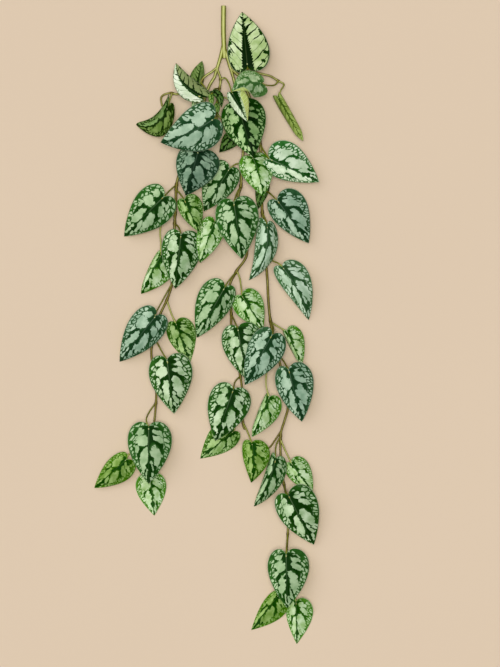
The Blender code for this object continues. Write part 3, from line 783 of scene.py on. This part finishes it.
class Nodes:
    """A material's node tree, written as calls that return the output socket."""

    def __init__(self, name):
        self.material = bpy.data.materials.new(name)
        self.material.use_nodes = True
        self.tree = self.material.node_tree

    def fill(self, node, inputs):
        """Gives the inputs, by name or number, their values or the sockets that feed them."""
        for key, value in inputs.items():
            if isinstance(value, bpy.types.NodeSocket):
                self.tree.links.new(value, node.inputs[key])
            else:
                node.inputs[key].default_value = value

    def add(self, kind, inputs, output=0, **settings):
        """The output of a new node; inputs that come without names are its first ones."""
        node = self.tree.nodes.new(kind)
        for setting, value in settings.items():
            setattr(node, setting, value)
        self.fill(node, inputs if isinstance(inputs, dict) else dict(enumerate(inputs)))
        return node.outputs[output]

    def attribute(self, name, output="Vector"):
        return self.add("ShaderNodeAttribute", (), output, attribute_name=name)

    def math(self, operation, *values):
        return self.add("ShaderNodeMath", values, operation=operation)

    def plus(self, a, b):
        return self.math("ADD", a, b)

    def minus(self, a, b):
        return self.math("SUBTRACT", a, b)

    def times(self, a, b):
        return self.math("MULTIPLY", a, b)

    def least(self, a, b):
        return self.math("MINIMUM", a, b)

    def greatest(self, a, b):
        return self.math("MAXIMUM", a, b)

    def vector(self, operation, *values):
        output = "Value" if operation == "LENGTH" else "Vector"
        return self.add("ShaderNodeVectorMath", values, output, operation=operation)

    def scaled(self, vector, factor):
        return self.vector("MULTIPLY", vector, (factor,) * 3)

    def part(self, vector, axis):
        return self.add("ShaderNodeSeparateXYZ", (vector,), axis)

    def join(self, *parts):
        return self.add("ShaderNodeCombineXYZ", parts)

    def off_midrib(self, place):
        """How far a place of the leaf is from the midrib."""
        return self.math("ABSOLUTE", self.part(place, 1))

    def noise(self, vector, size, detail=2.0, output="Fac"):
        """Soft noise with features of this size, in the vector's units."""
        inputs = {"Vector": vector, "Scale": 1 / size, "Detail": detail}
        return self.add("ShaderNodeTexNoise", inputs, output)

    def shift(self, vector, size, detail):
        """Soft noise in all three directions, about 0."""
        return self.vector("SUBTRACT", self.noise(vector, size, detail, "Color"), (0.5,) * 3)

    def cells(self, vector, feature, output):
        """Flat cells that are about one unit of the vector wide."""
        inputs = {"Vector": vector, "Scale": 1.0}
        return self.add("ShaderNodeTexVoronoi", inputs, output, feature=feature, voronoi_dimensions="2D")

    def between(self, value, low, high, to_low=0.0, to_high=1.0):
        """A smooth step of the value from to_low at low to to_high at high."""
        inputs = (value, low, high, to_low, to_high)
        return self.add("ShaderNodeMapRange", inputs, interpolation_type="SMOOTHSTEP")

    def mix(self, share, a, b):
        inputs = {MIX_SHARE: share, MIX_FIRST: a, MIX_SECOND: b}
        return self.add("ShaderNodeMix", inputs, MIX_COLOUR, data_type="RGBA")

    def blend(self, share, first, second):
        """A mix of two colours that are given in sRGB."""
        return self.mix(share, linear(first), linear(second))

    def finish(self, colour, height, roughness, strength, specular, distance=BUMP):
        """The material, with this colour, finish and relief."""
        bump = {"Strength": strength, "Distance": distance, "Height": height}
        look = {
            "Base Color": colour,
            "Roughness": roughness,
            "Specular IOR Level": specular,
            "Normal": self.add("ShaderNodeBump", bump),
        }
        self.fill(self.tree.nodes["Principled BSDF"], look)
        return self.material


def patch_distance(nodes, place):
    """The distance to the nearest patch of the print, 1 at a patch's edge."""
    closest = None
    for along, left, half_length, half_width, angle in PATCHES:
        inputs = {
            "Vector": place,
            "Location": (along, left, 0.0),
            "Rotation": (0.0, 0.0, math.radians(angle)),
            "Scale": (half_length, half_width, 1.0),
        }
        distance = nodes.vector("LENGTH", nodes.add("ShaderNodeMapping", inputs, vector_type="TEXTURE"))
        closest = distance if closest is None else nodes.least(closest, distance)
    return closest


def fields(nodes, place, offset):
    """The centre of the field that a place of the leaf lies in and how far the field's edge is."""
    across = nodes.minus(nodes.part(place, 0), nodes.times(nodes.off_midrib(place), VEIN_SLANT))
    slanted = nodes.join(nodes.plus(across, offset), nodes.part(place, 1))
    small = nodes.vector("DIVIDE", slanted, FIELD_SIZE)
    edge = nodes.cells(small, "DISTANCE_TO_EDGE", "Distance")
    centre = nodes.vector("MULTIPLY", nodes.cells(small, "F1", "Position"), FIELD_SIZE)
    centre_side = nodes.times(nodes.off_midrib(centre), VEIN_SLANT)
    centre_along = nodes.minus(nodes.plus(nodes.part(centre, 0), centre_side), offset)
    return nodes.join(centre_along, nodes.part(centre, 1)), edge


def patched_print(nodes, place, grain, margin, spread):
    """1 in the silver patches and spots, 0 in the dark net between them, sharp and soft."""
    jag = nodes.shift(grain, JAG_SIZE, 2.0)
    warped = nodes.vector("ADD", place, nodes.scaled(jag, JAG_REACH))
    centre, edge = fields(nodes, warped, nodes.part(grain, 2))
    moved = nodes.scaled(nodes.vector("ADD", place, centre), 0.5)
    drift = nodes.shift(grain, DRIFT_SIZE, 1.0)
    moved = nodes.vector("ADD", moved, nodes.scaled(drift, DRIFT_REACH))
    distance = patch_distance(nodes, nodes.vector("MULTIPLY", moved, (1.0, 1.0, 0.0)))
    patches = nodes.between(distance, spread - PATCH_EDGE, spread + PATCH_EDGE, 1.0, 0.0)
    halo = nodes.between(distance, spread, spread + HALO, 1.0, 0.0)
    scatter = nodes.vector("ADD", centre, nodes.vector("MULTIPLY", grain, UP))
    lucky = nodes.between(nodes.noise(scatter, SPOT_NOISE, 0.0), *SPOT_PICK)
    near_rim = nodes.between(margin, *SPOTS_START)
    spots = nodes.times(lucky, near_rim)
    patches = nodes.greatest(patches, spots)
    halo = nodes.greatest(halo, spots)
    openness = nodes.between(distance, spread - NET_FADE, spread, 0.0, NET_SHARE)
    openness = nodes.greatest(openness, near_rim)
    line = nodes.minus(nodes.times(openness, NET_WIDTH), NET_START)
    inside = nodes.between(nodes.minus(edge, line), *NET_EDGE)
    band = nodes.plus(nodes.off_midrib(place), nodes.times(nodes.part(place, 0), BAND_TAPER))
    band = nodes.plus(band, nodes.times(nodes.part(jag, 0), BAND_JAG))
    inside = nodes.times(inside, nodes.between(band, *BAND_EDGE))
    return nodes.times(patches, inside), nodes.times(halo, nodes.between(band, *BAND_HALO))


def striped_print(nodes, place, grain, margin, stripes):
    """0 in the dark stripes along the midrib and the side veins, 1 between them, sharp and soft."""
    vein_width, rib_width = stripes
    side = nodes.off_midrib(place)
    jag = nodes.minus(nodes.noise(grain, STRIPE_JAG_SIZE), 0.5)
    sway = nodes.minus(nodes.noise(grain, SWAY_SIZE, 1.0), 0.5)
    slant = nodes.plus(nodes.times(side, STRIPE_BEND), STRIPE_SLANT)
    across = nodes.minus(nodes.part(place, 0), nodes.times(side, slant))
    across = nodes.plus(across, nodes.times(sway, SWAY_REACH))
    is_right = nodes.math("LESS_THAN", nodes.part(place, 1), 0.0)
    shifted = nodes.plus(across, nodes.times(is_right, STRIPE_SHIFT))
    shifted = nodes.plus(shifted, nodes.times(jag, STRIPE_JAG))
    far = nodes.math("PINGPONG", shifted, STRIPE_SPACING / 2)
    width = nodes.between(nodes.noise(grain, FADE_SIZE, 0.0), *FADE_PICK, THINNEST_STRIPE, vein_width)
    width = nodes.times(width, nodes.between(margin, *STRIPE_THINS))
    line = nodes.minus(far, width)
    rib_width = nodes.between(nodes.part(place, 0), RIB_START, PRINT_LENGTH, rib_width, RIB_AT_TIP)
    rib = nodes.minus(nodes.plus(side, nodes.times(jag, RIB_JAG)), rib_width)
    rib = nodes.plus(rib, nodes.math("PINGPONG", across, TOOTH / 2))
    blot = nodes.plus(nodes.noise(grain, BLOT_SIZE, 1.0), nodes.between(margin, *BLOT_LIFT))
    blot = nodes.times(nodes.minus(blot, BLOT_LEVEL), BLOT_DEPTH)
    apart = nodes.least(nodes.least(line, rib), blot)
    return nodes.between(apart, *STRIPE_EDGE), nodes.between(apart, *STRIPE_HALO)


def blade_material(name, tone):
    """The upper side of a blade: dark green, with its silver print, a painted highlight along the midrib
    and its edge line.
    """
    nodes = Nodes(name)
    place = nodes.attribute("leaf_place")
    grain = nodes.attribute("leaf_grain")
    margin = nodes.attribute("leaf_margin", "Fac")
    if tone.stripes:
        print_mask, halo = striped_print(nodes, place, grain, margin, tone.stripes)
    else:
        print_mask, halo = patched_print(nodes, place, grain, margin, tone.spread)
    print_mask = nodes.times(print_mask, nodes.between(margin, *PRINT_END, 1.0, 0.0))

    shade = nodes.noise(grain, SHADE_SIZE, 3.0)
    paler = nodes.times(nodes.between(margin, *RIM_START), nodes.between(shade, *RIM_SHADE))
    paler = nodes.greatest(paler, nodes.times(halo, HALO_SHARE))
    dark = nodes.blend(paler, tone.dark, tone.rim)
    # Painted highlight: a pale line along the midrib, fading from the base toward the tip.
    shine = STRIPED_SHINE if tone.stripes else MIDRIB_SHINE
    shine = nodes.between(nodes.part(place, 0), 0.0, SHINE_RUN, shine, TIP_SHINE)
    midrib_highlight = nodes.between(nodes.off_midrib(place), *MIDRIB_EDGE, 1.0, 0.0)
    dark = nodes.mix(nodes.times(midrib_highlight, shine), dark, linear(tone.silver))
    silver = nodes.blend(nodes.between(shade, *SILVER_SHADE), tone.silver, tone.bright)
    colour = nodes.mix(print_mask, dark, silver)
    # Painted light and shade: each half is multiplied by its tone's left or right factor, as light falls
    # across the fold.
    is_left = nodes.between(nodes.part(place, 1), *HALF_SHADING_MEET)
    colour = nodes.vector("MULTIPLY", colour, nodes.mix(is_left, (*tone.right, 1.0), (*tone.left, 1.0)))
    edge_line = nodes.blend(0.5, tone.rim, tone.bright)
    colour = nodes.mix(nodes.between(margin, *EDGE_LINE), colour, edge_line)
    joint = nodes.vector("LENGTH", nodes.vector("SUBTRACT", place, JOINT_PLACE))
    colour = nodes.mix(nodes.between(joint, *JOINT_EDGE, 1.0, 0.0), colour, linear(JOINT_DOT))

    pores = nodes.noise(grain, PORE_SIZE)
    height = nodes.plus(nodes.times(print_mask, PRINT_RELIEF), nodes.times(pores, PORE_RELIEF))
    roughness = nodes.between(print_mask, 0.0, 1.0, *BLADE_ROUGHNESS)
    return nodes.finish(colour, height, roughness, strength=0.5, specular=0.02)


def underside_material():
    """The lower side of a blade: plain pale olive, with its veins as faint lines."""
    nodes = Nodes("blade_underside")
    place = nodes.attribute("leaf_place")
    grain = nodes.attribute("leaf_grain")
    side = nodes.off_midrib(place)
    veins = nodes.minus(nodes.part(place, 0), nodes.times(side, QUILT_SLANT))
    veins = nodes.math("PINGPONG", veins, QUILT_SPACING / 2)
    veins = nodes.between(veins, *UNDERSIDE_VEINS)
    lines = nodes.least(veins, nodes.between(side, *UNDERSIDE_MIDRIB))
    pale = nodes.blend(nodes.noise(grain, UNDERSIDE_CLOUD, 3.0), UNDERSIDE, UNDERSIDE_SHADE)
    colour = nodes.mix(lines, linear(UNDERSIDE_VEIN), pale)
    height = nodes.plus(nodes.times(lines, VEIN_RELIEF), nodes.noise(grain, UNDERSIDE_GRAIN))
    return nodes.finish(colour, height, roughness=0.55, strength=0.4, specular=0.3)


def stalk_material():
    """Olive-green streaked bark, painted highlight on top, painted shade on flanks, browner where tint is
    high.
    """
    nodes = Nodes("stalk_bark")
    run = nodes.attribute("stalk_run")
    tint = nodes.attribute("stalk_tint", "Fac")
    up = nodes.attribute("stalk_up", "Fac")
    streaks = nodes.noise(nodes.vector("MULTIPLY", run, STREAK_PULL), STREAK_SIZE, 3.0)
    patches = nodes.noise(run, BARK_PATCH)
    brown = nodes.plus(tint, nodes.times(nodes.minus(patches, 0.5), PATCH_TINT))
    brown = nodes.between(brown, *BROWNING)
    colour = nodes.mix(brown, nodes.blend(streaks, *BARK_GREEN), nodes.blend(streaks, *BARK_BROWN))
    # Painted highlight along the top of each stalk and painted shade on its flanks, by how far the bark
    # faces up.
    lit = nodes.plus(up, nodes.times(nodes.minus(streaks, 0.5), STREAK_SWAY))
    colour = nodes.mix(nodes.between(lit, *PAINTED_HIGHLIGHT_EDGE), colour, nodes.blend(brown, *BARK_PAINTED_HIGHLIGHT))
    colour = nodes.mix(nodes.between(lit, *PAINTED_SHADE_EDGE), colour, nodes.blend(brown, *BARK_PAINTED_SHADE))
    rings = nodes.noise(nodes.vector("MULTIPLY", run, RING_PULL), RING_SIZE)
    height = nodes.plus(streaks, nodes.times(rings, RING_RELIEF))
    roughness = nodes.between(patches, *BARK_ROUGHNESS)
    return nodes.finish(colour, height, roughness, strength=0.5, specular=0.2)


def petiole_path(leaf, root):
    """A petiole's way from its root on the stem to the underside of its blade's base."""
    flat = np.array([root[:2], *leaf.stalk[1:], leaf.base[:2]], float)
    run = path_lengths(flat)
    target = leaf.base[2] - JOINT_DEPTH
    heights = root[2] + (target - root[2]) * smooth_step(run, 0.0, run[-1])
    points = [(*place, height) for place, height in zip(flat[:-1], heights)]
    length = leaf_frame(leaf)[0]
    points.append(midrib_points(leaf, 0.0, JOINT_DEPTH))
    points.append(midrib_points(leaf, PETIOLE_REACH / length, JOINT_DEPTH))
    path = smooth_path(points, ROUTE_STEPS)
    path[:, 2] = np.maximum(path[:, 2], PETIOLE_TIP_RADIUS)
    return path


def swell(lengths, places, width):
    """How near each point of a path is to one of these places along it, 1 at the place."""
    near = np.zeros_like(lengths)
    for place in places:
        near = np.maximum(near, np.exp(-(((lengths - place) / width) ** 2)))
    return near


def make_stalks(stem, material):
    """The stem of a leafy stem with its nodes, its petioles and its bare twigs."""
    stub_start, stub_end, radius = (np.array(part, float) for part in STUBS[stem.name])
    heading = unit(stub_end - stub_start)
    start = stub_end + heading * JOIN_GAP
    path = smooth_path([start, start + heading * STEM_LEAD, *stem.route], ROUTE_STEPS)
    lengths = path_lengths(path)
    shape = Shape()
    places = []
    for number, leaf in enumerate(stem.leaves):
        root = nearest(path, leaf.stalk[0])
        places.append(lengths[root])
        way = petiole_path(leaf, path[root])
        far = path_lengths(way)
        knee = swell(far, (far[-1] - KNEE_PLACE,), KNEE_LENGTH)
        sheath = swell(far, (0.0,), NODE_LENGTH)
        radii = np.interp(far, (0, far[-1]), (PETIOLE_RADIUS, PETIOLE_TIP_RADIUS))
        radii = radii * (1 + KNEE_SWELL * knee + NODE_SWELL * sheath)
        tints = TONES[leaf.tone].stalk + SHEATH_TINT * sheath - KNEE_TINT * knee
        shape.add_tube(way, radii, tints, PETIOLE_SIDES, number * BARK_DRAW)
    for twig in stem.twigs:
        root = path[nearest(path, twig[0])]
        way = smooth_path([root, *((*place, root[2]) for place in twig[1:])], ROUTE_STEPS)
        shape.add_tube(way, PETIOLE_RADIUS, TWIG_TINT, PETIOLE_SIDES, BARK_DRAW / 2)
    near = swell(lengths, places, NODE_LENGTH)
    radii = np.interp(lengths, (0, lengths[-1]), (radius, STEM_TIP_RADIUS))
    radii = radii * (1 + NODE_SWELL * near)
    tints = np.interp(lengths, STEM_AGES, STEM_TINTS) + NODE_TINT * near
    shape.add_tube(path, radii, tints, STEM_SIDES, 0.0)
    return shape.make(f"{stem.name}_stalks", material)


def make_stock(material):
    """The thick stock, its two branches and the stubs that the leafy stems start from."""
    shape = Shape()
    path = smooth_path(STOCK_ROUTE, ROUTE_STEPS)
    radii = np.linspace(STOCK_RADIUS, STOCK_RADIUS * STOCK_TAPER, len(path))
    shape.add_tube(path, radii, STOCK_TINT, STEM_SIDES, 0.0)
    for number, route in enumerate(BRANCHES):
        path = smooth_path(route, ROUTE_STEPS)
        radii = np.linspace(BRANCH_RADIUS, BRANCH_RADIUS * STOCK_TAPER, len(path))
        shape.add_tube(path, radii, BRANCH_TINT, STEM_SIDES, BARK_DRAW + number)
    for number, (stub_start, stub_end, radius) in enumerate(STUBS.values()):
        path = np.linspace(stub_start, stub_end, ROUTE_STEPS)
        shape.add_tube(path, radius, STUB_TINT, STEM_SIDES, 2 * BARK_DRAW + number)
    return shape.make("stock_stalks", material)


def set_in_frame(piece, node):
    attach(piece, "root")
    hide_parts(node)


def make_plant():
    materials = {name: blade_material(f"blade_{name}", tone) for name, tone in TONES.items()}
    materials["underside"] = underside_material()
    bark = stalk_material()
    set_in_frame(make_stock(bark), "stock")
    phases = random.Random(PHASE_SEED)
    for stem in LEAFY_STEMS:
        set_in_frame(make_stalks(stem, bark), stem.name)
        for leaf in stem.leaves:
            blade = make_blade(stem, leaf, phases.uniform(0, math.tau), materials)
            set_in_frame(blade, stem.name)


def make_floor():
    """The pale surface that the spray lies on."""
    bpy.ops.mesh.primitive_plane_add(size=FLOOR_SIZE)
    floor = bpy.context.object
    floor.name = "floor"
    nodes = Nodes("pale_floor")
    place = nodes.add("ShaderNodeTexCoord", (), "Object")
    colour = nodes.blend(nodes.noise(place, FLOOR_CLOUD), *FLOOR_COLOURS)
    grain = nodes.noise(place, FLOOR_GRAIN)
    look = nodes.finish(colour, grain, roughness=0.9, strength=0.05, specular=0.1, distance=FLOOR_BUMP)
    floor.data.materials.append(look)


def make_light():
    """A broad light from the camera's side, a soft one from the upper left and a dim sky."""
    for name, (energy, colour, spread, tilt) in SUNS.items():
        lamp = bpy.data.lights.new(name, "SUN")
        lamp.energy = energy
        lamp.color = colour
        lamp.angle = math.radians(spread)
        sun = bpy.data.objects.new(name, lamp)
        sun.rotation_euler = (*np.radians(tilt), 0.0)
        into_scene(sun)
    world = bpy.data.worlds.new("studio")
    world.use_nodes = True
    background = world.node_tree.nodes["Background"]
    background.inputs["Color"].default_value = SKY_COLOUR
    background.inputs["Strength"].default_value = SKY_STRENGTH
    bpy.context.scene.world = world
    bpy.context.scene.view_settings.view_transform = "Standard"


def make_camera():
    """Straight above the spray, so that a pixel is as wide at the leaves as in the photograph."""
    data = bpy.data.cameras.new("camera")
    data.lens = LENS
    data.sensor_width = SENSOR
    camera = bpy.data.objects.new("camera", data)
    width, height = FRAME_SIZE
    middle_x = (width / 2 - AXIS_PIXEL[0]) * PIXEL - MIDDLE[0]
    middle_y = (AXIS_PIXEL[1] - height / 2) * PIXEL - MIDDLE[1]
    distance = height * PIXEL * LENS / SENSOR
    camera.location = (middle_x * MM, middle_y * MM, (distance + LEAF_LEVEL) * MM)
    into_scene(camera)
    bpy.context.scene.camera = camera


def main():
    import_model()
    make_camera()
    make_light()
    make_floor()
    make_plant()


main()
